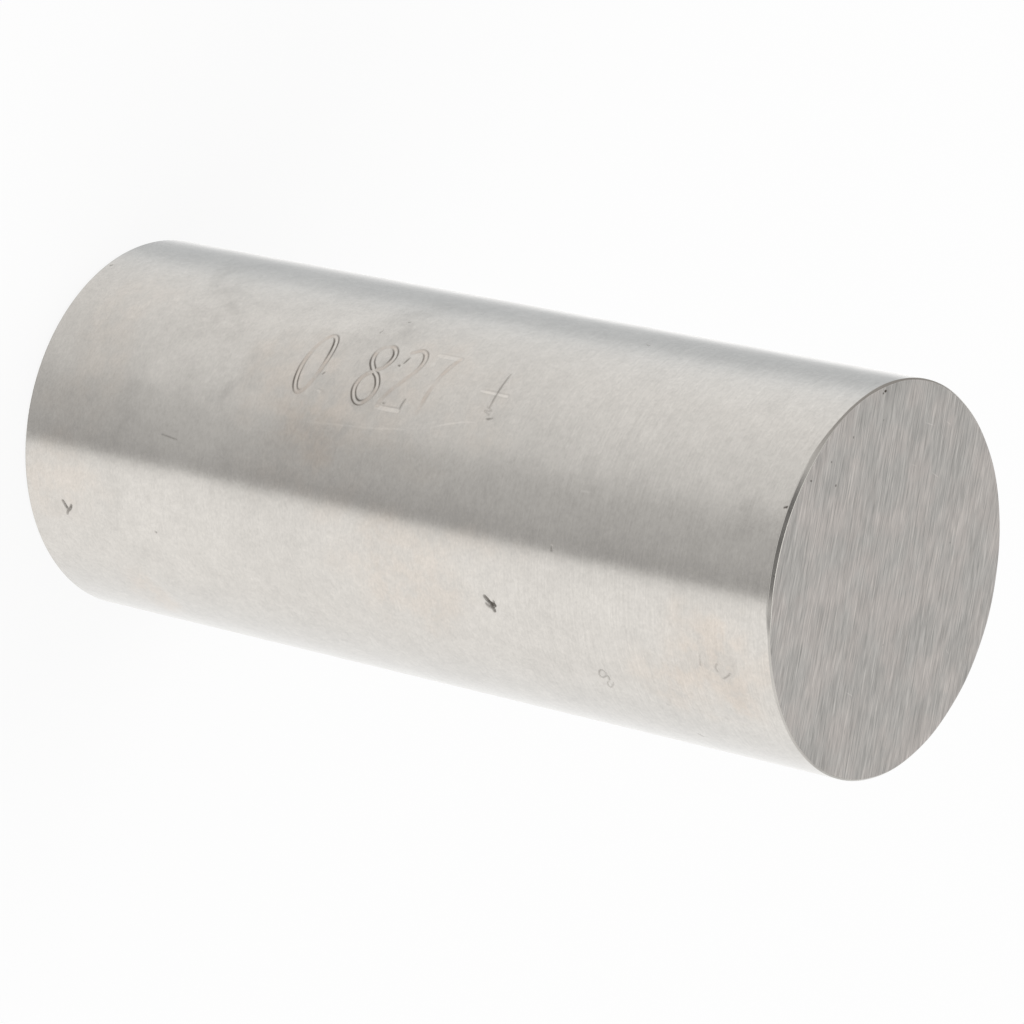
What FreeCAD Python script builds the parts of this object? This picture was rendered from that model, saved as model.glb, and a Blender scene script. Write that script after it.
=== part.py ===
"""Plain cylindrical pin gauge: one hardened, ground steel pin, standing on its end.

The row's frame has its origin at the centre of the lower end face and +Z up the pin.
All lengths are in millimetres.
"""
import FreeCAD, Part
import os
import Sketcher
from FreeCAD import Vector

NODE = "gauge_pin"

# Driving dimensions: name, millimetres, what the size is.
SIZES = (
    ("gauge_diameter", 21.0058, "ground diameter, 0.827 in"),
    ("gauge_length", 50.8, "over both end faces, 2 in"),
    ("marked_end_break", 0.2, "45 degree edge break round the upper end"),
    ("plain_end_break", 0.2, "45 degree edge break round the lower end"),
)

# The half section's corners, in the order in which its outline is drawn. Each one is
# also the number of the line that starts there.
AXIS_LOW, FACE_LOW, WALL_LOW, WALL_HIGH, FACE_HIGH, AXIS_HIGH = range(6)


def add_sizes(doc):
    """Write the driving dimensions to a spreadsheet, one aliased cell each."""
    sheet = doc.addObject("Spreadsheet::Sheet", "sizes")
    for row, (name, value, meaning) in enumerate(SIZES, start=1):
        sheet.set(f"A{row}", name)
        sheet.set(f"B{row}", str(value))
        sheet.set(f"C{row}", meaning)
        sheet.setAlias(f"B{row}", name)
    doc.recompute()
    return sheet


def origin_plane(body, role):
    """One of a body's own three planes."""
    return next(item for item in body.Origin.OriginFeatures if item.Role == role)


def start_of(line):
    """A line's start, as Sketcher numbers it."""
    return line, 1


def end_of(line):
    """A line's end, as Sketcher numbers it."""
    return line, 2


def sketch_origin():
    """The sketch's origin, which Sketcher keeps as the start of its own X axis, line -1."""
    return start_of(-1)


def drive(sketch, name, size, *constraint):
    """Add a dimension to a sketch, name it and tie it to a size on the sheet."""
    index = sketch.addConstraint(Sketcher.Constraint(*constraint))
    sketch.renameConstraint(index, name)
    sketch.setExpression(f"Constraints.{name}", f"sizes.{size}")


def draw_half_section(body, sheet):
    """Half of the pin's lengthwise section, beside the axis that it is turned about."""
    sketch = body.newObject("Sketcher::SketchObject", "half_section")
    sketch.AttachmentSupport = [(origin_plane(body, "XZ_Plane"), "")]
    sketch.MapMode = "FlatFace"

    radius = sheet.gauge_diameter / 2
    length = sheet.gauge_length
    low, high = sheet.plain_end_break, sheet.marked_end_break
    corners = {
        AXIS_LOW: Vector(0, 0, 0),
        FACE_LOW: Vector(radius - low, 0, 0),
        WALL_LOW: Vector(radius, low, 0),
        WALL_HIGH: Vector(radius, length - high, 0),
        FACE_HIGH: Vector(radius - high, length, 0),
        AXIS_HIGH: Vector(0, length, 0),
    }
    count = len(corners)
    for corner in range(count):
        sketch.addGeometry(Part.LineSegment(corners[corner], corners[(corner + 1) % count]), False)
    for corner in range(count):
        sketch.addConstraint(
            Sketcher.Constraint("Coincident", *end_of(corner), *start_of((corner + 1) % count)))

    origin = sketch_origin()
    sketch.addConstraint(Sketcher.Constraint("Coincident", *start_of(AXIS_LOW), *origin))
    sketch.addConstraint(Sketcher.Constraint("Horizontal", AXIS_LOW))
    sketch.addConstraint(Sketcher.Constraint("Vertical", WALL_LOW))
    sketch.addConstraint(Sketcher.Constraint("Horizontal", FACE_HIGH))
    sketch.addConstraint(Sketcher.Constraint("Vertical", AXIS_HIGH))

    drive(sketch, "wall_radius", "gauge_diameter / 2",
          "DistanceX", *origin, *start_of(WALL_LOW), radius)
    drive(sketch, "overall_length", "gauge_length",
          "DistanceY", *origin, *start_of(AXIS_HIGH), length)
    drive(sketch, "low_break_across", "plain_end_break",
          "DistanceX", *start_of(FACE_LOW), *start_of(WALL_LOW), low)
    drive(sketch, "low_break_up", "plain_end_break",
          "DistanceY", *start_of(FACE_LOW), *start_of(WALL_LOW), low)
    drive(sketch, "high_break_across", "marked_end_break",
          "DistanceX", *start_of(FACE_HIGH), *start_of(WALL_HIGH), high)
    drive(sketch, "high_break_up", "marked_end_break",
          "DistanceY", *start_of(WALL_HIGH), *start_of(FACE_HIGH), high)
    return sketch


def turn_pin(doc, sheet):
    """The pin itself: the half section, turned once about its axis."""
    body = doc.addObject("PartDesign::Body", NODE)
    body.Label = NODE
    sketch = draw_half_section(body, sheet)
    pin = body.newObject("PartDesign::Revolution", "turned_pin")
    pin.Profile = sketch
    pin.ReferenceAxis = (sketch, ["V_Axis"])
    pin.Angle = 360
    body.Placement = FreeCAD.Placement()
    return body, sketch


def check(doc, bodies):
    """Stop on any object that failed to compute and on any bad shape."""
    for item in doc.Objects:
        if "Invalid" in item.State or "Error" in item.State:
            raise RuntimeError(f"{item.Name} did not compute: {item.State}")
    for body in bodies:
        if body.Shape.isNull() or not body.Shape.isValid():
            raise RuntimeError(f"{body.Label} has no valid shape")


def main():
    doc = FreeCAD.newDocument("pin_gauge")
    sheet = add_sizes(doc)
    pin, sketch = turn_pin(doc, sheet)
    doc.recompute()
    check(doc, [pin])
    if not sketch.FullyConstrained:
        raise RuntimeError("the half section isn't fully constrained")

    os.makedirs("parts", exist_ok=True)
    pin.Shape.exportStep(f"parts/{pin.Label}.step")
    box = pin.Shape.BoundBox
    print(f"{pin.Label}: {box.XLength:.4f} x {box.YLength:.4f} x {box.ZLength:.4f} mm, "
          f"{pin.Shape.Volume:.1f} mm3, {len(pin.Shape.Faces)} faces")


main()
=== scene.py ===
"""A plain cylindrical pin gauge of ground steel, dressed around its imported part.

The pin stands on its plain end at the origin. Places on its side are given as if the side
were unrolled: how far up the pin, and how far round it from the line that faces -Y, with
plus towards -X. Sizes in the tables are in millimetres.
"""
import math

import bmesh
import bpy
import numpy as np
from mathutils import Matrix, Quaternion, Vector, noise


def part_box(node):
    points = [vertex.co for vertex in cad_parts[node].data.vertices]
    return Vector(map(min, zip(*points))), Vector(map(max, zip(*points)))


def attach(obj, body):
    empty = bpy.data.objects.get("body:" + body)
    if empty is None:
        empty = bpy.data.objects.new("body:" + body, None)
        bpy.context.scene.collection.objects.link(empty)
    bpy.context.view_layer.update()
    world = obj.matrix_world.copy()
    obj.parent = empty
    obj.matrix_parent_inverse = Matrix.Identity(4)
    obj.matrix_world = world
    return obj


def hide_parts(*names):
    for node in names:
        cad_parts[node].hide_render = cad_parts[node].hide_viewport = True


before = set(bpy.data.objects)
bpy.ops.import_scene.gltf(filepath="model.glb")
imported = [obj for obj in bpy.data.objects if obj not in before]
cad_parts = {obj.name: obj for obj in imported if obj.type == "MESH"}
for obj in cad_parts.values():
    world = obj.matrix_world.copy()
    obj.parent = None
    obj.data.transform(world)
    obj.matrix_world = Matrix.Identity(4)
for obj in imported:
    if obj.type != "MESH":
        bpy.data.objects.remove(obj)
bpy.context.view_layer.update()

# ---------------------------------------------------------------- sizes of the pin
MM = 0.001
LOW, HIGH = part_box("gauge_pin")
LENGTH = HIGH.z - LOW.z
RADIUS = (HIGH.x - LOW.x) / 2
EDGE_BREAK = 0.20 * MM
EDGE_SOFTENING = 0.040 * MM        # what a stone takes off the corners of the edge break
SIDES = 200
STEP = 2 * math.pi / SIDES
FACET = RADIUS * STEP
ROWS = 98
SIDE_LOW = LOW.z + EDGE_BREAK + EDGE_SOFTENING
ROW = (LENGTH - 2 * (EDGE_BREAK + EDGE_SOFTENING)) / ROWS
SHARP_FROM = math.radians(8)

# The marked end was stoned by hand: a full edge break in front, a thin one all the way behind.
FULL_FROM, FULL_TO = -24, 46       # degrees round from -Y, plus towards -X
THIN_SHARE = 0.42


# ---------------------------------------------------------------- the size number
# Each stroke is a list of (up, round, depth share) points that a smooth line runs through.
GROOVE_DEPTH = 0.030
GROOVE_HALF = 0.130                # half the width of a groove, between the middles of its walls
GROOVE_WALL = 0.075                # how wide a sloping wall is
BURR_HEIGHT = 0.005
BURR_WIDTH = 0.055
FINE_HALF = 0.045                  # the same for a groove that only the tool's tip cut
DIRT_AND_SHADE_LINE = 0.050                  # how wide a line of dirt and painted shade lies along a wall


def oval(middle_up, middle_round, half_up, half_round, lean, points=24):
    """A closed upright oval, cut deepest on two opposite shoulders, where its dirt and painted shade are darkest."""
    stroke = []
    for k in range(points):
        turn = 2 * math.pi * k / points
        rise = half_round * math.sin(turn)
        share = 0.60 + 0.40 * math.sin(2 * turn)
        stroke.append((middle_up + half_up * math.cos(turn) + lean * rise, middle_round + rise, share))
    return stroke


NOUGHT = oval(18.34, 5.22, 0.68, 1.90, 0.06)
EIGHT = [
    (22.35, 5.40, 1.00), (22.73, 5.10, 1.00), (23.03, 4.62, 1.00), (23.08, 4.15, 0.60),
    (22.87, 3.65, 0.40), (22.42, 3.38, 0.90), (21.98, 3.60, 1.00), (21.70, 4.20, 0.90),
    (21.84, 4.88, 0.45), (22.33, 5.38, 0.50), (22.80, 5.72, 0.45), (23.03, 6.30, 0.90),
    (22.96, 6.76, 1.00), (22.64, 7.12, 0.70), (22.27, 7.14, 0.25), (21.92, 6.90, 0.25),
    (21.77, 6.50, 0.60), (21.90, 5.92, 1.00),
]
TWO_BOW = [
    (23.93, 7.02, 0.30), (24.40, 7.28, 0.50), (24.80, 7.10, 0.80), (25.02, 6.62, 0.75),
    (24.98, 6.05, 0.45), (24.73, 5.50, 0.30), (24.36, 4.92, 0.30), (24.00, 4.35, 0.25),
    (23.74, 3.80, 0.25), (23.66, 3.45, 0.30),
]
TWO_START = [(23.99, 6.62, 0.60), (23.93, 6.40, 0.85), (23.88, 6.22, 0.50)]
TWO_DOT = [(23.66, 6.04, 1.00), (23.70, 6.01, 1.00)]
TWO_FOOT = [(23.66, 3.38, 0.50), (24.40, 3.36, 0.80), (25.10, 3.38, 0.80)]
TWO_SPOT = [(23.97, 3.62, 0.60), (24.02, 3.62, 0.60)]
TWO_TICK = [(25.15, 3.50, 0.50), (25.18, 3.80, 0.65), (25.24, 4.08, 0.50)]
SEVEN_TICK = [(25.70, 6.45, 0.30), (25.68, 7.18, 0.25)]
SEVEN_TOP = [(25.68, 7.20, 0.40), (26.40, 7.20, 0.55), (27.08, 7.20, 0.60)]
SEVEN_LEG = [
    (27.08, 7.20, 0.25), (26.84, 6.60, 0.45), (26.62, 5.90, 0.30), (26.50, 5.20, 0.12),
    (26.42, 4.50, 0.42), (26.38, 3.95, 0.15), (26.34, 3.45, 0.08),
]
PLUS_ACROSS = [(29.58, 5.47, 0.60), (30.45, 5.47, 1.00), (31.32, 5.44, 0.90)]
PLUS_UP = [(30.66, 6.85, 0.40), (30.62, 5.60, 0.68), (30.63, 4.55, 0.50)]
TOOL_SCRIBBLE = [(30.46, 4.60, 0.25), (30.82, 4.42, 0.35), (30.42, 4.34, 0.30), (30.80, 4.18, 0.35)]
TOOL_LIFT = [(30.78, 3.92, 0.45), (30.92, 3.92, 0.75), (31.14, 4.01, 0.40)]
DOT = [(19.50, 3.60, 0.60), (19.66, 3.56, 0.60)]
NOUGHT_BURR = [(19.28, 4.62, 0.70), (19.33, 4.70, 0.60)]

# Where these strokes are cut deep, dirt and painted shade darken their walls.
DIRTY_SHADED_STROKES = [(NOUGHT, True), (EIGHT, True), (TWO_BOW, False), (SEVEN_LEG, False)]
# These strokes are made bright by a painted highlight.
BRIGHT_STROKES = [
    (TWO_FOOT, 0.125), (SEVEN_TICK, 0.10), (SEVEN_TOP, 0.125), (PLUS_ACROSS, 0.080), (DOT, 0.080),
]
FINE_STROKES = [
    TWO_START, TWO_DOT, TWO_SPOT, TWO_TICK, PLUS_UP, TOOL_SCRIBBLE, TOOL_LIFT, NOUGHT_BURR,
]
NUMBER_ZONES = [                   # low and high up, low and high round
    (17.30, 19.70, 2.95, 7.60), (21.40, 27.40, 2.95, 7.60), (29.40, 31.50, 2.95, 7.60),
]
NUMBER_CELL = 0.036


# ---------------------------------------------------------------- marks on the side
# A knock is a few short dents: its stroke, half its width, its depth and how dirty it is.
KNOCKS = [
    ([(32.60, -5.44, 0.5), (32.80, -5.64, 1.0), (32.96, -5.80, 1.0), (33.07, -6.02, 0.9),
      (33.14, -6.16, 0.7)], 0.085, 0.080, 0.90),
    ([(32.92, -5.74, 0.8), (33.10, -5.80, 1.0), (33.21, -5.84, 0.9)], 0.085, 0.070, 0.85),
    ([(33.17, -5.60, 0.5), (33.20, -5.72, 0.8), (33.21, -5.84, 0.7)], 0.035, 0.040, 0.75),
    ([(32.66, -5.86, 0.4), (32.88, -5.98, 0.7), (33.00, -5.98, 0.5)], 0.080, 0.040, 0.72),
    ([(2.80, -5.50, 0.7), (2.93, -5.72, 0.9), (3.05, -5.89, 0.9), (3.14, -6.00, 0.6)], 0.070, 0.060, 0.60),
    ([(3.40, -5.66, 0.6), (3.33, -5.80, 1.0), (3.24, -5.92, 0.9), (3.08, -6.04, 0.7),
      (2.97, -6.26, 0.4)], 0.060, 0.060, 0.64),
    ([(9.54, -6.12, 0.8), (9.60, -6.15, 0.8)], 0.035, 0.020, 0.50),
    ([(43.95, -12.53, 0.6), (44.14, -12.71, 0.5)], 0.060, 0.015, 0.30),
    ([(50.40, 2.47, 0.6), (50.50, 2.51, 1.0), (50.66, 2.56, 0.9)], 0.030, 0.040, 0.80),
    ([(39.71, -8.80, 0.3), (39.73, -8.60, 0.5), (39.58, -8.48, 0.9), (39.40, -8.54, 1.0),
      (39.27, -8.76, 0.9), (39.29, -8.96, 0.7), (39.45, -9.02, 0.8), (39.71, -8.84, 1.0),
      (39.84, -8.86, 0.9), (39.84, -9.07, 1.0)], 0.030, 0.012, 0.36),
    ([(39.74, -9.20, 0.4), (39.57, -9.44, 0.8), (39.62, -9.70, 0.9), (39.85, -9.55, 0.8),
      (40.02, -9.26, 0.5)], 0.030, 0.010, 0.30),
    ([(10.00, -0.50, 0.6), (10.50, -0.56, 1.0), (11.10, -0.62, 0.6)], 0.025, 0.010, 0.34),
    ([(37.00, -1.90, 0.8), (37.02, -2.10, 0.8)], 0.030, 0.015, 0.40),
    ([(0.48, 9.28, 0.8), (0.54, 9.34, 0.8)], 0.045, 0.015, 0.45),
    ([(36.20, 11.62, 0.8), (36.42, 11.56, 0.8)], 0.035, 0.015, 0.36),
    ([(22.02, 9.30, 0.8), (22.08, 9.32, 0.8)], 0.040, 0.010, 0.36),
    ([(21.00, 8.00, 0.8), (21.04, 8.20, 0.7)], 0.030, 0.010, 0.30),
    ([(47.62, -7.10, 0.6), (47.90, -6.92, 1.0), (48.12, -6.70, 0.8)], 0.030, 0.010, 0.34),
    ([(47.36, -6.30, 0.8), (47.24, -6.52, 1.0), (47.34, -6.74, 0.7)], 0.030, 0.010, 0.28),
    ([(46.36, -6.00, 0.8), (46.30, -6.60, 0.8)], 0.030, 0.008, 0.24),
]
DENT_WALL = 0.050

# Light scratches, made bright by a painted highlight along them: the stroke and half its width.
SCRATCHES = [
    ([(19.40, 1.76, 0.2), (22.00, 2.00, 0.7), (24.70, 2.22, 0.4)], 0.040),
    ([(23.60, 2.14, 0.4), (25.60, 2.40, 0.8), (26.60, 2.62, 0.3)], 0.040),
    ([(27.60, 2.84, 0.3), (28.40, 3.16, 1.0), (29.50, 3.50, 0.8), (30.20, 3.60, 0.2)], 0.050),
    ([(38.18, 1.20, 0.6), (38.40, 1.22, 1.0), (38.66, 1.20, 0.6)], 0.060),
]
SCRATCH_DEPTH = 0.003

MARK_CELL = 0.045
MARK_ZONES = [
    (2.55, 3.65, -6.55, -5.30), (32.40, 33.35, -6.40, -5.30), (9.40, 9.75, -6.30, -5.95),
    (43.80, 44.30, -12.85, -12.35), (50.25, 50.50, 2.30, 2.75), (39.05, 40.20, -9.85, -8.30),
    (9.85, 11.20, -0.75, -0.40), (36.85, 37.15, -2.25, -1.75), (0.35, 0.70, 9.15, 9.45),
    (36.05, 36.60, 11.40, 11.75), (21.85, 22.20, 9.15, 9.45), (20.85, 21.15, 7.95, 8.24),
    (47.05, 48.30, -7.25, -6.15), (46.20, 46.50, -6.75, -5.95), (38.00, 38.80, 1.05, 1.35),
]
SCRATCH_CELL = 0.060
SCRATCH_ZONES = [(19.30, 26.80, 1.70, 2.60), (27.50, 28.95, 2.70, 3.60)]

# Where the side was handled, smeared or wiped clean:
# (up, round, half up, half round, turn in degrees, strength), in millimetres.
HANDLED = [
    (2.4, -4.4, 4.8, 3.4, 0, 0.55), (27.0, -5.2, 6.0, 3.6, -8, 0.60), (32.0, -3.0, 5.4, 1.9, 0, 0.35),
    (47.4, -6.4, 5.2, 4.0, -20, 1.00), (43.8, -8.2, 4.8, 1.8, -12, 0.50), (7.2, -11.4, 2.8, 1.9, 30, 0.70),
    (17.6, 3.2, 5.2, 4.6, 0, 0.60), (23.0, 2.6, 6.6, 3.6, 0, 0.50), (30.8, 4.2, 3.2, 2.8, 0, 0.30),
    (25.4, 6.0, 4.4, 2.8, 0, 0.35), (3.6, 4.0, 3.2, 7.0, 0, 0.35), (20.0, -1.6, 5.0, 1.6, 0, 0.30),
]
SMEARED = [
    (10.8, 7.2, 3.8, 1.5, 24, 0.85), (9.0, 9.8, 2.0, 3.6, 10, 0.60), (22.6, 9.4, 3.4, 2.6, 30, 0.75),
    (20.4, 6.2, 3.8, 3.2, 0, 0.60), (21.4, 2.9, 6.2, 2.2, 0, 0.65), (13.8, 3.2, 2.8, 1.2, 30, 0.50),
    (39.4, 1.4, 4.0, 1.6, 0, 0.30), (48.9, 0.4, 2.4, 2.4, 0, 0.65), (48.0, -6.8, 2.6, 2.0, 0, 0.50),
    (6.9, -3.6, 0.9, 3.6, -6, 0.40), (18.4, -1.2, 2.0, 1.5, 0, 0.35), (25.8, -6.2, 1.3, 1.6, 0, 0.40),
    (12.4, 5.6, 1.4, 1.0, 0, 0.45), (6.6, 1.0, 1.0, 4.0, 12, 0.40),
]
WIPED = [
    (12.2, 0.0, 5.6, 2.6, 0, 1.00), (9.8, -4.6, 3.8, 4.4, 0, 0.40), (10.8, 3.6, 3.6, 2.4, 34, 0.70),
    (16.6, 7.8, 5.0, 1.1, 16, 0.50), (41.0, 7.0, 10.0, 4.0, 0, 0.30),
]


# ---------------------------------------------------------------- modelling helpers
def deselect_all():
    """Nothing selected and nothing active, so that an operator acts on the new piece alone."""
    bpy.ops.object.select_all(action="DESELECT")
    bpy.context.view_layer.objects.active = None


def select_edges(piece, wanted):
    """In edit mode, select only the edges for which wanted(edge) is true."""
    bpy.ops.mesh.select_mode(type="EDGE")
    bpy.ops.mesh.select_all(action="DESELECT")
    shell = bmesh.from_edit_mesh(piece.data)
    count = 0
    for edge in shell.edges:
        if wanted(edge):
            edge.select = True
            count += 1
    bmesh.update_edit_mesh(piece.data)
    return count


def middle(edge):
    return (edge.verts[0].co + edge.verts[1].co) / 2


def is_level(edge):
    """True for an edge that runs round the pin and not up it."""
    return abs(edge.verts[0].co.z - edge.verts[1].co.z) < 1e-7


def distance_round(place):
    """How far round the side a point is from the line that faces -Y, plus towards -X."""
    return RADIUS * math.atan2(-place.x, -place.y)


def zone_in_metres(zone):
    """A zone's limits in metres, moved out to the nearest lines of the blank's mesh."""
    low_up, high_up, low_round, high_round = (limit * MM for limit in zone)
    low_up = SIDE_LOW + ROW * math.floor((low_up - SIDE_LOW) / ROW)
    high_up = SIDE_LOW + ROW * math.ceil((high_up - SIDE_LOW) / ROW)
    low_round = FACET * math.floor(low_round / FACET)
    high_round = FACET * math.ceil(high_round / FACET)
    return low_up, high_up, low_round, high_round


# ---------------------------------------------------------------- the blank
def turn_blank():
    """The ground cylinder with its broken edges, before anything is cut or knocked into it."""
    deselect_all()
    bpy.ops.mesh.primitive_cylinder_add(
        vertices=SIDES, radius=RADIUS, depth=LENGTH, end_fill_type="NGON",
        location=(0, 0, LOW.z + LENGTH / 2))
    pin = bpy.context.object
    pin.name = "ground_pin"
    bpy.ops.object.transform_apply(location=True)
    bpy.ops.object.mode_set(mode="EDIT")

    def on_rim(edge):
        return is_level(edge) and (middle(edge).z < LOW.z + 1e-6 or middle(edge).z > HIGH.z - 1e-6)

    select_edges(pin, on_rim)
    bpy.ops.mesh.bevel(offset_type="OFFSET", offset=EDGE_BREAK, segments=1, affect="EDGES")
    select_edges(pin, lambda edge: is_level(edge) and end_distance(middle(edge).z) < 2 * EDGE_BREAK)
    bpy.ops.mesh.bevel(offset_type="OFFSET", offset=EDGE_SOFTENING, segments=2, affect="EDGES")
    select_edges(pin, lambda edge: abs(middle(edge).z - LOW.z - LENGTH / 2) < 1e-6)
    bpy.ops.mesh.subdivide(number_cuts=ROWS - 1, smoothness=0)
    bpy.ops.object.mode_set(mode="OBJECT")
    bpy.ops.object.shade_smooth_by_angle(angle=SHARP_FROM)
    return pin


def end_distance(height):
    """How far a height is from the nearer end of the pin."""
    return min(height - LOW.z, HIGH.z - height)


def refine(pin, zone, cell):
    """Divide the side inside a zone into cells of about the given size."""
    low_up, high_up, low_round, high_round = zone_in_metres(zone)
    slack = 1e-6

    def inside(place):
        return (low_up - slack <= place.z <= high_up + slack
                and low_round - slack <= distance_round(place) <= high_round + slack
                and place.xy.length > RADIUS - EDGE_BREAK / 2)

    select_edges(pin, lambda edge: not is_level(edge) and inside(middle(edge)))
    bpy.ops.mesh.subdivide(number_cuts=round(ROW / (cell * MM)) - 1, smoothness=0, ngon=True)
    select_edges(pin, lambda edge: is_level(edge) and inside(middle(edge)))
    bpy.ops.mesh.subdivide(number_cuts=round(FACET / (cell * MM)) - 1, smoothness=0, ngon=True)


def refine_zones(pin):
    """Fine cells where the number is cut and where the side is marked."""
    bpy.context.view_layer.objects.active = pin
    pin.select_set(True)
    bpy.ops.object.mode_set(mode="EDIT")
    for zones, cell in ((NUMBER_ZONES, NUMBER_CELL), (MARK_ZONES, MARK_CELL), (SCRATCH_ZONES, SCRATCH_CELL)):
        for zone in zones:
            refine(pin, zone, cell)
    bpy.ops.object.mode_set(mode="OBJECT")


# ---------------------------------------------------------------- what is cut into the side
def read_points(piece):
    points = np.empty(len(piece.data.vertices) * 3)
    piece.data.vertices.foreach_get("co", points)
    return points.reshape(-1, 3)


def write_points(piece, points):
    piece.data.vertices.foreach_set("co", points.ravel())
    piece.data.update()


def round_off_facets(points):
    """Move points that lie on a facet's flat out to the true circle through its corners."""
    angle = np.arctan2(points[:, 1], points[:, 0])
    from_middle = np.mod(angle, STEP) - STEP / 2
    stretch = np.cos(from_middle) / math.cos(STEP / 2)
    off_axis = np.hypot(points[:, 0], points[:, 1]) > RADIUS / 2
    points[off_axis, :2] *= stretch[off_axis, None]


def smooth_line(stroke, closed, per_span=8):
    """A stroke's points joined by a smooth line that passes through each of them."""
    knots = np.array(stroke)
    if closed:
        knots = np.vstack([knots[-1:], knots, knots[:2]])
    else:
        knots = np.vstack([2 * knots[0] - knots[1], knots, 2 * knots[-1] - knots[-2]])
    line = []
    for before, start, end, after in zip(knots, knots[1:], knots[2:], knots[3:]):
        for k in range(per_span):
            t = k / per_span
            line.append(0.5 * (2 * start + (end - before) * t
                               + (2 * before - 5 * start + 4 * end - after) * t ** 2
                               + (3 * start - before - 3 * end + after) * t ** 3))
    line.append(knots[-2])
    return np.array(line)


def nearest_on(line, up, around):
    """For each point: its distance to a line, and the line's depth share there."""
    nearest = np.full(len(up), np.inf)
    share = np.zeros(len(up))
    for start, end in zip(line, line[1:]):
        run = end[:2] - start[:2]
        along = ((up - start[0]) * run[0] + (around - start[1]) * run[1]) / max(run @ run, 1e-12)
        along = along.clip(0, 1)
        away = np.hypot(up - start[0] - along * run[0], around - start[1] - along * run[1])
        closer = away < nearest
        nearest[closer] = away[closer]
        share[closer] = (start[2] + along * (end[2] - start[2]))[closer]
    return nearest, share


def ease(x):
    """0 below 0, 1 above 1 and a smooth step between."""
    x = np.clip(x, 0, 1)
    return x * x * (3 - 2 * x)


def patches(up, around, table, core):
    """The sum of a table's flat oval patches at each point; core is the full share of each."""
    total = np.zeros(len(up))
    for patch_up, patch_round, half_up, half_round, turn, strength in table:
        c, s = math.cos(math.radians(turn)), math.sin(math.radians(turn))
        along = ((up - patch_up) * c + (around - patch_round) * s) / half_up
        across = ((around - patch_round) * c - (up - patch_up) * s) / half_round
        total += strength * (1 - ease((np.hypot(along, across) - core) / (1 - core)))
    return total


# Kept for the material; painted shade and painted highlights are among them.
KEPT = ("dirt_and_painted_shade", "stain", "painted_highlight", "grime", "handled", "smeared", "wiped")


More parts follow.
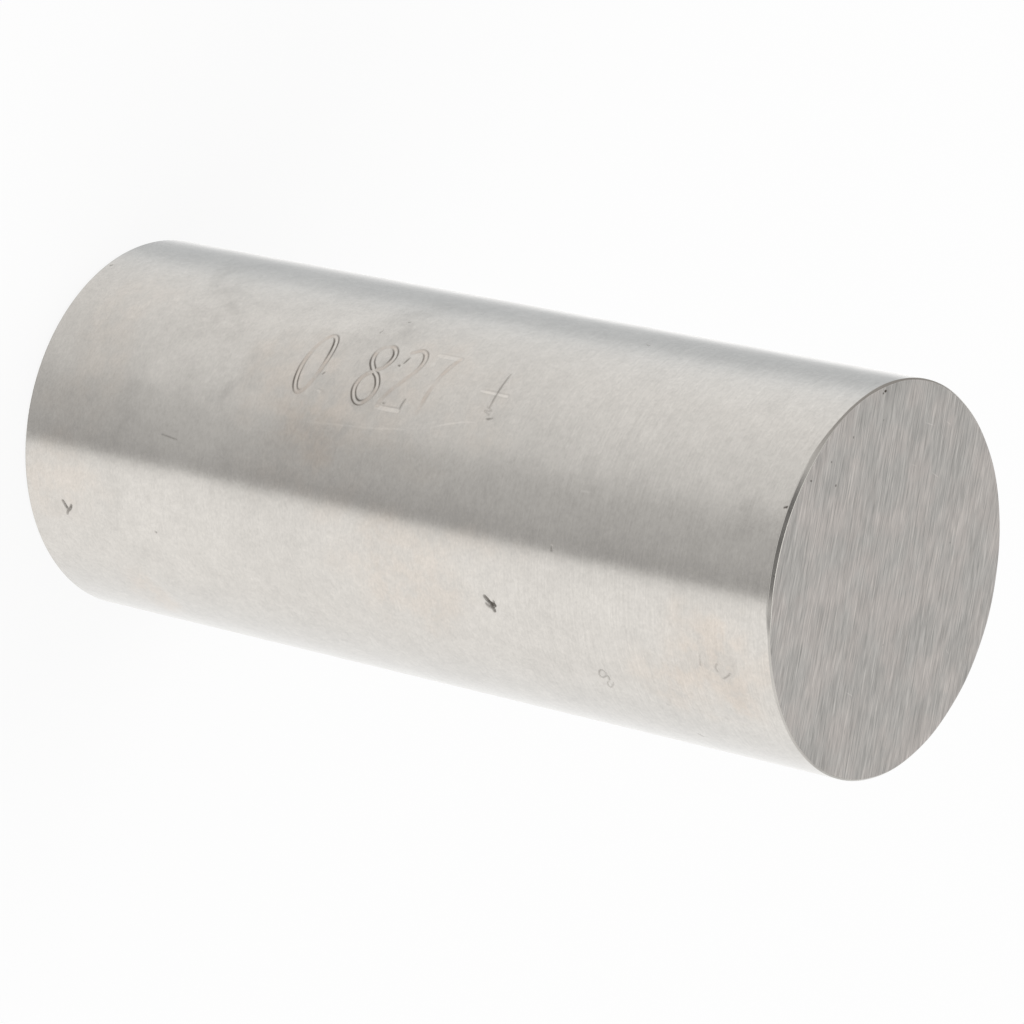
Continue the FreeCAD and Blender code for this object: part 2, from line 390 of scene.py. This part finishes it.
class CutSide:
    """What is cut into the side so far: depths, burrs, the state of the metal, and the painted shade and painted
    highlights at each point.
    """

    def __init__(self, points):
        self.up = points[:, 2] / MM
        self.around = RADIUS / MM * np.arctan2(-points[:, 0], -points[:, 1])
        self.on_side = np.hypot(points[:, 0], points[:, 1]) > RADIUS - EDGE_BREAK / 2
        for name in ("depth", "burr", "dirt_and_painted_shade", "stain", "painted_highlight", "grime"):
            setattr(self, name, np.zeros(len(points)))

    def near(self, stroke, reach):
        """The points on the side that lie within reach of a stroke's box."""
        ups, rounds = zip(*[point[:2] for point in stroke])
        return (self.on_side & (self.up > min(ups) - reach) & (self.up < max(ups) + reach)
                & (self.around > min(rounds) - reach) & (self.around < max(rounds) + reach))

    def raise_to(self, name, here, values):
        kept = getattr(self, name)
        kept[here] = np.maximum(kept[here], values)

    def groove(self, stroke, closed, half, wall, depth):
        """Sink a flat-bottomed groove. Gives back what its dirt and shine need."""
        here = self.near(stroke, 0.5)
        away, share = nearest_on(smooth_line(stroke, closed), self.up[here], self.around[here])
        floor = 1 - ease((away - half + wall / 2) / wall)
        self.raise_to("depth", here, depth * share * floor)
        return here, away, share, floor

    def raise_burr(self, here, away, share, half):
        lip = np.exp(-((away - half - GROOVE_WALL / 2 - BURR_WIDTH) / BURR_WIDTH) ** 2)
        self.raise_to("burr", here, BURR_HEIGHT * share * lip)

    def cut_dirty_shaded(self, stroke, closed):
        """A stroke with dirt and painted shade along the foot of its walls where it was cut deep, and a painted
        highlight on its floor where it was cut deepest.
        """
        here, away, share, floor = self.groove(stroke, closed, GROOVE_HALF, GROOVE_WALL, GROOVE_DEPTH)
        self.raise_burr(here, away, share, GROOVE_HALF)
        line = np.exp(-((away - GROOVE_HALF) / DIRT_AND_SHADE_LINE) ** 2)
        self.raise_to("dirt_and_painted_shade", here, line * np.clip(share ** 2.4, 0, 1))
        self.raise_to("stain", here, floor * 4 * share * (1 - share))
        self.raise_to("painted_highlight", here, 0.6 * floor * np.clip(2 * share - 1, 0, 1))

    def cut_bright(self, stroke, half):
        """A stroke made bright with a painted highlight, with only a faint line of dirt and painted shade beside it.
        """
        here, away, share, floor = self.groove(stroke, False, half, GROOVE_WALL, GROOVE_DEPTH / 2)
        self.raise_burr(here, away, share, half)
        self.raise_to("painted_highlight", here, share * floor)
        self.raise_to("dirt_and_painted_shade", here, 0.12 * share * np.exp(-((away - half - 0.04) / DIRT_AND_SHADE_LINE) ** 2))

    def cut_fine(self, stroke):
        """A thin line darkened with dirt and painted shade."""
        here, away, share, floor = self.groove(stroke, False, FINE_HALF, GROOVE_WALL, GROOVE_DEPTH)
        self.raise_burr(here, away, share, FINE_HALF)
        self.raise_to("dirt_and_painted_shade", here, 0.75 * share * np.exp(-(away / (1.15 * DIRT_AND_SHADE_LINE)) ** 2))

    def scratch(self, stroke, half):
        """A hair-thin scratch, made bright by a painted highlight along it."""
        here, away, share, _ = self.groove(stroke, False, half / 2, half, SCRATCH_DEPTH)
        self.raise_to("painted_highlight", here, 0.9 * share * np.exp(-(away / half) ** 2))

    def knock(self, stroke, half, depth, dirty, rough):
        """A short ragged dent with dirt in it."""
        here, away, share, _ = self.groove(stroke, False, half, DENT_WALL, depth)
        ragged = np.clip(1 + 0.25 * rough.standard_normal(here.sum()), 0.4, 1.5)
        fill = 1 - ease((away - 0.3 * half) / (half + DENT_WALL))
        self.raise_to("grime", here, dirty * np.sqrt(share) * np.clip(fill * ragged, 0, 1))

    def ragged(self, points):
        """Each point's place on the unrolled side, pushed about so that patches get ragged edges."""
        pushes = np.zeros((len(points), 2))
        for k in np.flatnonzero(self.on_side):
            place = Vector(points[k]) / MM
            push = 2.2 * noise.noise_vector(0.35 * place) + 1.1 * noise.noise_vector(1.1 * place)
            pushes[k] = push.x, push.y
        return self.up + pushes[:, 0], self.around + pushes[:, 1]


def stone_edge(points):
    """Make the marked end's edge break as uneven as a hand stone leaves it."""
    out = np.hypot(points[:, 0], points[:, 1])
    here = (out > RADIUS - 1.4 * EDGE_BREAK) & (points[:, 2] > HIGH.z - 1.4 * EDGE_BREAK)
    turn = np.degrees(np.arctan2(-points[here, 0], -points[here, 1]))
    full = ease((turn - FULL_FROM) / 9) * ease((FULL_TO - turn) / 16)
    wobble = 0.05 * np.sin(np.radians(7 * turn)) + 0.04 * np.sin(np.radians(17 * turn + 40))
    share = np.minimum(1, THIN_SHARE + (1 - THIN_SHARE) * full + wobble)
    stretch = (RADIUS + share * (out[here] - RADIUS)) / out[here]
    points[here, :2] *= stretch[:, None]
    points[here, 2] = HIGH.z + share * (points[here, 2] - HIGH.z)


def cut_side(pin):
    """Engrave the number and mark the side, and keep what the metal is like at each point, with its painted shade and
    painted highlights.
    """
    points = read_points(pin)
    round_off_facets(points)
    side = CutSide(points)
    for stroke, closed in DIRTY_SHADED_STROKES:
        side.cut_dirty_shaded(stroke, closed)
    for stroke, half in BRIGHT_STROKES:
        side.cut_bright(stroke, half)
    for stroke in FINE_STROKES:
        side.cut_fine(stroke)
    for stroke, half in SCRATCHES:
        side.scratch(stroke, half)
    rough = np.random.default_rng(7)
    for stroke, half, depth, dirty in KNOCKS:
        side.knock(stroke, half, depth, dirty, rough)
    ragged_up, ragged_round = side.ragged(points)
    for name, table, core in (("handled", HANDLED, 0.3), ("smeared", SMEARED, 0.1), ("wiped", WIPED, 0.4)):
        setattr(side, name, patches(ragged_up, ragged_round, table, core))

    burr = np.where(side.depth < 0.001, side.burr, 0)
    shrink = (side.depth - burr) * MM / RADIUS
    points[:, :2] *= (1 - shrink)[:, None]
    stone_edge(points)
    write_points(pin, points)
    for name in KEPT:
        store(pin, name, getattr(side, name))


def store(piece, name, values):
    """Keep one number per vertex on the piece, for its material to read."""
    kept = piece.data.attributes.new(name, "FLOAT", "POINT")
    kept.data.foreach_set("value", values.astype(np.float32))


# ---------------------------------------------------------------- material helpers
class Nodes:
    """A node tree with one short call per node."""

    def __init__(self, tree):
        self.tree = tree
        tree.nodes.clear()

    def add(self, kind, **settings):
        node = self.tree.nodes.new(kind)
        for name, value in settings.items():
            setattr(node, name, value)
        return node

    def link(self, source, target):
        self.tree.links.new(source, target)

    def put(self, socket, value):
        """Link a socket, or set it when the value is a plain one."""
        if isinstance(value, bpy.types.NodeSocket):
            self.link(value, socket)
        else:
            socket.default_value = value

    def math(self, operation, first, second=0.0, third=0.0, clamp=False):
        node = self.add("ShaderNodeMath", operation=operation, use_clamp=clamp)
        for socket, value in zip(node.inputs, (first, second, third)):
            self.put(socket, value)
        return node.outputs[0]

    def vector(self, operation, first, second=(0.0, 0.0, 0.0)):
        node = self.add("ShaderNodeVectorMath", operation=operation)
        self.put(node.inputs[0], first)
        self.put(node.inputs[1], second)
        return node.outputs["Value"] if operation in ("LENGTH", "DISTANCE") else node.outputs[0]

    def range(self, value, low, high, to_low=0.0, to_high=1.0, smooth=True):
        kind = "SMOOTHSTEP" if smooth else "LINEAR"
        node = self.add("ShaderNodeMapRange", interpolation_type=kind)
        for name, number in (("From Min", low), ("From Max", high), ("To Min", to_low), ("To Max", to_high)):
            self.put(node.inputs[name], number)
        self.put(node.inputs["Value"], value)
        return node.outputs["Result"]

    def noise(self, place, scale, detail=2.0, roughness=0.5):
        node = self.add("ShaderNodeTexNoise")
        self.put(node.inputs["Vector"], place)
        self.put(node.inputs["Scale"], scale)
        self.put(node.inputs["Detail"], detail)
        self.put(node.inputs["Roughness"], roughness)
        return node.outputs["Fac"]

    def mix(self, share, first, second):
        node = self.add("ShaderNodeMix", data_type="RGBA")
        self.put(node.inputs["Factor"], share)
        self.put(node.inputs[6], first)
        self.put(node.inputs[7], second)
        return node.outputs[2]

    def blend_number(self, share, first, second):
        node = self.add("ShaderNodeMix", data_type="FLOAT")
        self.put(node.inputs["Factor"], share)
        self.put(node.inputs[2], first)
        self.put(node.inputs[3], second)
        return node.outputs[0]

    def ramp(self, value, stops):
        """A colour ramp from (place, colour) stops."""
        node = self.add("ShaderNodeValToRGB")
        elements = node.color_ramp.elements
        for extra in range(len(stops) - 2):
            elements.new(0.5)
        for element, (place, colour) in zip(elements, stops):
            element.position = place
            element.color = (*colour, 1.0)
        self.put(node.inputs["Fac"], value)
        return node.outputs["Color"]

    def tint(self, colour, share):
        """A colour made lighter or darker all over by a share."""
        node = self.add("ShaderNodeVectorMath", operation="SCALE")
        self.put(node.inputs[0], colour[:3] if isinstance(colour, tuple) else colour)
        self.put(node.inputs["Scale"], share)
        return node.outputs[0]

    def millimetres(self):
        """The place on the piece, in millimetres."""
        place = self.add("ShaderNodeTexCoord").outputs["Object"]
        return self.tint(place, 1 / MM)

    def fitted(self, place, sizes, turn=0.0, middle=(0.0, 0.0, 0.0)):
        """A place measured in lengths of the given sizes, from a middle and along turned axes."""
        node = self.add("ShaderNodeMapping", vector_type="TEXTURE")
        self.put(node.inputs["Vector"], place)
        node.inputs["Location"].default_value = middle
        node.inputs["Rotation"].default_value = (0, 0, math.radians(turn))
        node.inputs["Scale"].default_value = sizes
        return node.outputs[0]

    def around_mean(self, value, amount, level):
        """A level made higher and lower by a noise's swing."""
        return self.math("MULTIPLY_ADD", self.math("SUBTRACT", value, 0.5), amount, level)

    def spots(self, place, table, core):
        """The sum of flat oval spots. core is the share of each that is full before it fades."""
        total = None
        for across, along, half_across, half_along, turn, strength in table:
            at = self.fitted(place, (half_across, half_along, 1e6), turn, (across, along, 0.0))
            spot = self.range(self.vector("LENGTH", at), core, 1.0, strength, 0.0)
            total = spot if total is None else self.math("ADD", total, spot)
        return total

    def split(self, place):
        node = self.add("ShaderNodeSeparateXYZ")
        self.put(node.inputs[0], place)
        return node.outputs

    def attribute(self, name):
        return self.add("ShaderNodeAttribute", attribute_name=name).outputs["Fac"]

    def bump(self, height, metres, strength=1.0, before=None):
        node = self.add("ShaderNodeBump")
        node.inputs["Strength"].default_value = strength
        node.inputs["Distance"].default_value = metres
        self.put(node.inputs["Height"], height)
        if before is not None:
            self.put(node.inputs["Normal"], before)
        return node.outputs[0]


def new_material(name):
    material = bpy.data.materials.new(name)
    material.use_nodes = True
    return material, Nodes(material.node_tree)


def steel_shader(nodes, colour, roughness, normal, axis, anisotropy, turn):
    """Bare steel whose blur is drawn out across its grinding lines."""
    shader = nodes.add("ShaderNodeBsdfPrincipled")
    shader.inputs["Metallic"].default_value = 1.0
    shader.inputs["Anisotropic"].default_value = anisotropy
    shader.inputs["Anisotropic Rotation"].default_value = turn
    nodes.put(shader.inputs["Base Color"], colour)
    nodes.put(shader.inputs["Roughness"], roughness)
    nodes.put(shader.inputs["Normal"], normal)
    tangent = nodes.add("ShaderNodeTangent", direction_type="RADIAL", axis=axis)
    nodes.link(tangent.outputs[0], shader.inputs["Tangent"])
    output = nodes.add("ShaderNodeOutputMaterial")
    nodes.link(shader.outputs[0], output.inputs["Surface"])


# ---------------------------------------------------------------- finishes
STEEL = (0.662, 0.634, 0.594, 1.0)
WARM_STEEL = (0.668, 0.612, 0.552, 1.0)
GROOVE_STAIN = (0.560, 0.480, 0.415, 1.0)
# Dirt with painted shade, for the dark lines along the number's groove walls.
DIRT_AND_SHADE = (0.115, 0.093, 0.076, 1.0)
GRIME = (0.100, 0.084, 0.068, 1.0)

# Marks on the end face: (x, y, half length, half width, turn in degrees, strength). The scratches are painted
# highlights, lighter lines in the colour.
END_SCRATCH_HIGHLIGHTS = [
    (-6.50, 5.00, 0.90, 0.050, 1, 0.90), (-5.83, 2.30, 0.52, 0.045, 76, 0.80), (-8.30, 0.75, 0.62, 0.045, 88, 0.80),
    (-8.60, 2.50, 0.40, 0.040, 78, 0.70), (3.00, 7.10, 0.34, 0.050, 60, 0.60), (6.10, -1.35, 0.50, 0.045, 78, 0.80),
    (8.90, -1.70, 0.62, 0.050, 3, 0.80), (-4.05, 6.40, 0.40, 0.045, 8, 0.70), (-6.05, 0.10, 0.40, 0.040, 86, 0.50),
    (-7.60, -6.10, 1.10, 0.045, 3, 0.50), (1.40, -5.30, 1.20, 0.050, 4, 0.55), (5.40, -4.80, 0.80, 0.045, 5, 0.50),
]
END_PITS = [
    (-9.34, -4.00, 0.10, 0.15, 20, 1.00), (-9.20, -4.14, 0.07, 0.09, 0, 0.80), (-6.67, -6.00, 0.10, 0.07, 0, 0.55),
    (-4.10, -6.67, 0.10, 0.10, 0, 0.60), (-5.20, -7.50, 0.08, 0.08, 0, 0.55), (-4.04, -8.96, 0.06, 0.13, 0, 0.65),
    (-2.60, 5.10, 0.07, 0.07, 0, 0.35), (3.30, 0.80, 0.06, 0.06, 0, 0.30), (-7.90, -3.60, 0.06, 0.06, 0, 0.40),
]


def ground_side():
    """Cylindrically ground steel: fine lines round the pin, handling stains, light scratches made bright by a painted
    highlight, and dirt and painted shade in the number's grooves.
    """
    material, nodes = new_material("ground_side")
    place = nodes.millimetres()

    lines = nodes.noise(nodes.fitted(place, (3.5, 3.5, 0.12)), 1.0, 2.0, 0.65)
    hair = nodes.noise(nodes.fitted(place, (2.0, 2.0, 0.04)), 1.0, 0.0, 0.5)
    grain = nodes.noise(place, 2.2, 2.0, 0.65)
    fine_grain = nodes.noise(nodes.fitted(place, (0.20, 0.20, 0.13)), 1.0, 1.0, 0.6)
    clouds = nodes.noise(place, 0.20, 4.0, 0.62)
    blotches = nodes.noise(nodes.vector("ADD", place, (7.0, 3.0, 11.0)), 0.8, 2.0, 0.65)
    lined_end = nodes.range(nodes.split(place)[2], 26.0, 40.0)

    handled = nodes.math("MULTIPLY", nodes.attribute("handled"), nodes.range(blotches, 0.34, 0.62, 0.35, 1.15))
    smeared = nodes.math("MULTIPLY", nodes.attribute("smeared"), nodes.range(blotches, 0.62, 0.36, 0.55, 1.20))
    wiped = nodes.attribute("wiped")
    dirt_and_painted_shade = nodes.attribute("dirt_and_painted_shade")
    grime = nodes.attribute("grime")

    light = nodes.around_mean(clouds, 0.20, 1.0)
    light = nodes.around_mean(lines, nodes.blend_number(lined_end, 0.05, 0.20), light)
    light = nodes.around_mean(blotches, 0.14, light)
    light = nodes.around_mean(grain, 0.16, light)
    light = nodes.around_mean(fine_grain, 0.20, light)
    light = nodes.math("MULTIPLY_ADD", smeared, -0.10, light)
    light = nodes.math("MULTIPLY_ADD", wiped, 0.08, light)
    # A painted highlight on the bright strokes, the deepest groove floors and the scratches.
    light = nodes.math("MULTIPLY_ADD", nodes.attribute("painted_highlight"), 0.18, light)
    colour = nodes.mix(handled, STEEL, WARM_STEEL)
    stain = nodes.math("MULTIPLY", nodes.attribute("stain"), nodes.range(grain, 0.30, 0.60, 0.20, 0.62))
    colour = nodes.mix(stain, colour, GROOVE_STAIN)
    # Dirt and painted shade along the groove walls darken the colour here.
    colour = nodes.mix(nodes.math("MULTIPLY", dirt_and_painted_shade, 0.72), nodes.tint(colour, light), DIRT_AND_SHADE)
    colour = nodes.mix(grime, colour, GRIME)

    roughness = nodes.around_mean(clouds, 0.10, 0.20)
    roughness = nodes.around_mean(lines, 0.06, roughness)
    roughness = nodes.math("MULTIPLY_ADD", smeared, 0.06, roughness)
    roughness = nodes.blend_number(nodes.math("MAXIMUM", grime, dirt_and_painted_shade), roughness, 0.70)

    height = nodes.math("MULTIPLY", lines, 0.0008)
    height = nodes.math("MULTIPLY_ADD", hair, 0.0003, height)
    height = nodes.math("MULTIPLY_ADD", grain, 0.0020, height)
    height = nodes.math("MULTIPLY_ADD", nodes.noise(place, 0.20, 0.0), 0.008, height)
    steel_shader(nodes, colour, roughness, nodes.bump(height, MM), "Z", 0.75, 0.25)
    return material


END_LINES_TURN = 4.4               # degrees from X towards Y


def ground_end():
    """Surface ground steel: straight parallel lines of uneven length across the end, with scratches painted as
    highlights and dark pits.
    """
    material, nodes = new_material("ground_end")
    place = nodes.millimetres()
    elsewhere = (31.0, 17.0, 0.0)

    long_lines = nodes.noise(nodes.fitted(place, (2.4, 0.11, 9.0), END_LINES_TURN), 1.0, 2.0, 0.7)
    short_lines = nodes.noise(nodes.fitted(place, (0.85, 0.060, 9.0), END_LINES_TURN), 1.0, 1.0, 0.6)
    other_lines = nodes.noise(nodes.fitted(place, (1.3, 0.085, 9.0), END_LINES_TURN, elsewhere), 1.0, 0.0)
    bands = nodes.noise(nodes.fitted(place, (3.0, 0.7, 9.0), END_LINES_TURN), 1.0, 2.0, 0.6)
    clouds = nodes.noise(place, 0.40, 3.0, 0.6)
    scratch_highlights = nodes.spots(place, END_SCRATCH_HIGHLIGHTS, 0.2)
    pits = nodes.spots(place, END_PITS, 0.4)

    light = nodes.around_mean(long_lines, 0.46, 1.0)
    light = nodes.around_mean(short_lines, 0.60, light)
    light = nodes.around_mean(bands, 0.26, light)
    light = nodes.around_mean(clouds, 0.30, light)
    light = nodes.math("MULTIPLY_ADD", nodes.range(other_lines, 0.58, 0.70), 0.14, light)
    light = nodes.math("MULTIPLY_ADD", nodes.range(other_lines, 0.42, 0.30), -0.12, light)
    # Painted highlights along the end face's scratches.
    light = nodes.math("MULTIPLY_ADD", scratch_highlights, 0.26, light)
    tone = nodes.mix(nodes.range(clouds, 0.35, 0.65), (0.650, 0.628, 0.598, 1.0), (0.668, 0.626, 0.592, 1.0))
    colour = nodes.mix(pits, nodes.tint(tone, light), GRIME)

    roughness = nodes.around_mean(short_lines, 0.16, 0.34)
    roughness = nodes.blend_number(pits, roughness, 0.7)
    height = nodes.math("MULTIPLY", long_lines, 0.0030)
    height = nodes.math("MULTIPLY_ADD", short_lines, 0.0014, height)
    steel_shader(nodes, colour, roughness, nodes.bump(height, MM), "X", 0.6, 0.0)
    return material


def turned_edge():
    """The stoned edge break: fine rings round it, a little duller than the side."""
    material, nodes = new_material("turned_edge")
    place = nodes.millimetres()
    rings = nodes.noise(nodes.fitted(place, (3.0, 3.0, 0.035)), 1.0, 2.0, 0.6)
    patches = nodes.noise(place, 0.8, 3.0, 0.6)
    light = nodes.around_mean(patches, 0.30, 0.95)
    roughness = nodes.around_mean(patches, 0.15, 0.24)
    normal = nodes.bump(rings, 0.0008 * MM)
    colour = nodes.mix(nodes.attribute("grime"), nodes.tint(STEEL, light), GRIME)
    steel_shader(nodes, colour, roughness, normal, "Z", 0.3, 0.25)
    return material


def paint_pin(pin):
    """Give the side, the edge breaks and the two end faces their own finishes."""
    for material in (ground_side(), ground_end(), turned_edge()):
        pin.data.materials.append(material)
    side, end, edge = range(3)
    for face in pin.data.polygons:
        rise = abs(face.normal.z)
        if end_distance(face.center.z) < 1e-6 and rise > 0.9:
            face.material_index = end
        elif end_distance(face.center.z) < EDGE_BREAK + EDGE_SOFTENING / 2 and rise > 0.05:
            face.material_index = edge
        else:
            face.material_index = side


# ---------------------------------------------------------------- the studio
WORLD_STRENGTH = 1.10
FLOOR_SIZE = 6.0
FLOOR_WHITE = 0.95
FLOOR_OWN_WHITE = 0.88             # how much of the floor's white the camera sees whatever the light

# The tent round the pin: degrees round from -Y, plus towards -X, how bright it is, how cool.
TENT = [
    (-180, 1.22, 0.00), (-170, 1.08, 0.00), (-160, 1.00, 0.01), (-150, 0.97, 0.01), (-128, 0.93, 0.01),
    (-100, 0.955, 0.0), (-50, 0.985, 0.00), (-38, 0.965, 0.00), (-32, 0.93, 0.00), (-28, 0.84, 0.00),
    (-25.4, 0.66, 0.00), (-23.4, 0.45, 0.00), (-19, 0.43, 0.00), (-10, 0.50, 0.00), (0, 0.525, 0.00),
    (10, 0.555, 0.00), (20, 0.615, 0.0), (30, 0.685, 0.0), (42, 0.715, 0.0), (60, 0.755, 0.0),
    (80, 0.80, 0.0), (104, 0.825, 0.01), (112, 0.83, 0.02), (120, 0.74, 0.035), (128, 0.63, 0.04),
    (140, 0.615, 0.04), (150, 0.62, 0.03), (158, 0.90, 0.02), (168, 1.24, 0.00), (180, 1.34, 0.00),
]


def tent_world():
    """A pale tent with one grey side, grey cards behind and the dark round the camera."""
    world = bpy.data.worlds.new("tent")
    world.use_nodes = True
    bpy.context.scene.world = world
    nodes = Nodes(world.node_tree)
    x, y, z = nodes.split(nodes.add("ShaderNodeTexCoord").outputs["Generated"])
    degrees = 180 / math.pi
    turn = nodes.math("ARCTAN2", nodes.math("MULTIPLY", x, -1.0), nodes.math("MULTIPLY", y, -1.0))
    turn = nodes.math("MULTIPLY", turn, degrees)
    rise = nodes.math("MULTIPLY", nodes.math("ARCSINE", z), degrees)

    stops = [((place + 180) / 360, (level * (1 - cool), level, level * (1 + cool))) for place, level, cool in TENT]
    wall = nodes.ramp(nodes.range(turn, -180, 180, smooth=False), stops)
    under = nodes.range(rise, -82, -52, 0.45, 1.0)
    skirt = nodes.range(rise, -22, 2, 1.0, 0.72)
    lit_side = nodes.math("MULTIPLY", nodes.range(turn, 8, 30), nodes.range(turn, 132, 112))
    lift = nodes.math("MULTIPLY_ADD", lit_side, nodes.range(rise, -37.8, -33.6, 0.0, 0.13), 1.0)
    wall = nodes.tint(nodes.tint(nodes.tint(wall, under), skirt), lift)

    behind = nodes.range(nodes.math("ABSOLUTE", turn), 95, 150, 0.82, 0.56)
    near_camera = nodes.math("ABSOLUTE", nodes.math("SUBTRACT", turn, 11.0))
    hood = nodes.math("MULTIPLY", nodes.range(near_camera, 38, 54, 1.0, 0.0), nodes.range(rise, 28, 42))
    hood = nodes.math("MULTIPLY", hood, nodes.range(rise, 66, 80, 1.0, 0.0))
    card = nodes.math("MULTIPLY", nodes.range(turn, 50, 70), nodes.range(turn, 172, 156))
    roof = nodes.math("MULTIPLY", nodes.range(rise, 66, 82, 0.0, 1.0), 0.50)
    dome = nodes.blend_number(hood, behind, 0.16)
    light = nodes.mix(nodes.range(rise, 0, 16), wall, nodes.tint((1.0, 1.0, 1.0), nodes.math("ADD", dome, roof)))
    card = nodes.math("MULTIPLY", card, nodes.math("MULTIPLY", nodes.range(rise, -20, -8), nodes.range(rise, 52, 42)))
    light = nodes.mix(nodes.math("MULTIPLY", card, 0.9), light, (0.33, 0.32, 0.31, 1.0))

    background = nodes.add("ShaderNodeBackground")
    nodes.put(background.inputs["Color"], light)
    background.inputs["Strength"].default_value = WORLD_STRENGTH
    white = nodes.add("ShaderNodeBackground")
    white.inputs["Color"].default_value = (1, 1, 1, 1)
    pick = nodes.add("ShaderNodeMixShader")
    nodes.link(nodes.add("ShaderNodeLightPath").outputs["Is Camera Ray"], pick.inputs[0])
    nodes.link(background.outputs[0], pick.inputs[1])
    nodes.link(white.outputs[0], pick.inputs[2])
    output = nodes.add("ShaderNodeOutputWorld")
    nodes.link(pick.outputs[0], output.inputs["Surface"])


def pale_floor():
    """A plain white floor that keeps the pin's soft shadow."""
    deselect_all()
    bpy.ops.mesh.primitive_plane_add(size=FLOOR_SIZE, location=(0, 0, LOW.z))
    floor = bpy.context.object
    floor.name = "floor"
    floor.visible_glossy = False
    material, nodes = new_material("pale_floor")
    lit = nodes.add("ShaderNodeBsdfDiffuse")
    lit.inputs["Color"].default_value = (FLOOR_WHITE, FLOOR_WHITE, FLOOR_WHITE, 1)
    glow = nodes.add("ShaderNodeEmission")
    glow.inputs["Color"].default_value = (1, 1, 1, 1)
    share = nodes.math("MULTIPLY", nodes.add("ShaderNodeLightPath").outputs["Is Camera Ray"], FLOOR_OWN_WHITE)
    pick = nodes.add("ShaderNodeMixShader")
    nodes.link(share, pick.inputs[0])
    nodes.link(lit.outputs[0], pick.inputs[1])
    nodes.link(glow.outputs[0], pick.inputs[2])
    output = nodes.add("ShaderNodeOutputMaterial")
    nodes.link(pick.outputs[0], output.inputs["Surface"])
    floor.data.materials.append(material)


def soft_lamp(name, place, aim, size, watts):
    """A square lamp that lights the floor and isn't seen in the steel."""
    light = bpy.data.lights.new(name, "AREA")
    light.shape = "SQUARE"
    light.size = size
    light.energy = watts
    lamp = bpy.data.objects.new(name, light)
    bpy.context.scene.collection.objects.link(lamp)
    lamp.location = place
    lamp.rotation_euler = (Vector(aim) - Vector(place)).to_track_quat("-Z", "Y").to_euler()
    lamp.visible_glossy = False


# ---------------------------------------------------------------- the camera
CAMERA_OUT = 226.859 * MM
CAMERA_UP = 194.173 * MM
AIM_SIDE = 0.645 * MM
AIM_ABOVE_MIDDLE = 1.042 * MM
CAMERA_ROLL = math.radians(102.187)
CAMERA_LENS = 183.66


def set_camera():
    """A long lens above and in front, rolled so that the standing pin lies across the picture."""
    camera = bpy.data.objects.new("camera", bpy.data.cameras.new("camera"))
    bpy.context.scene.collection.objects.link(camera)
    bpy.context.scene.camera = camera
    camera.data.lens = CAMERA_LENS
    camera.data.sensor_width = 36.0
    camera.data.clip_start = 0.01
    camera.data.clip_end = 100.0
    place = Vector((0, -CAMERA_OUT, LOW.z + CAMERA_UP))
    aim = Vector((AIM_SIDE, 0, LOW.z + LENGTH / 2 + AIM_ABOVE_MIDDLE))
    camera.location = place
    level = (aim - place).to_track_quat("-Z", "Y")
    camera.rotation_euler = (level @ Quaternion((0, 0, 1), CAMERA_ROLL)).to_euler()


# ---------------------------------------------------------------- putting it together
def build_pin():
    pin = turn_blank()
    refine_zones(pin)
    cut_side(pin)
    paint_pin(pin)
    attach(pin, "root")
    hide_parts("gauge_pin")
    return pin


build_pin()
pale_floor()
tent_world()
soft_lamp("key_lamp", (-0.30, 0.25, 0.55), (0, 0, 0.02), 0.35, 0.9)
soft_lamp("fill_lamp", (0.35, -0.15, 0.50), (0, 0, 0.02), 0.45, 0.6)
set_camera()
bpy.context.scene.view_settings.view_transform = "Standard"
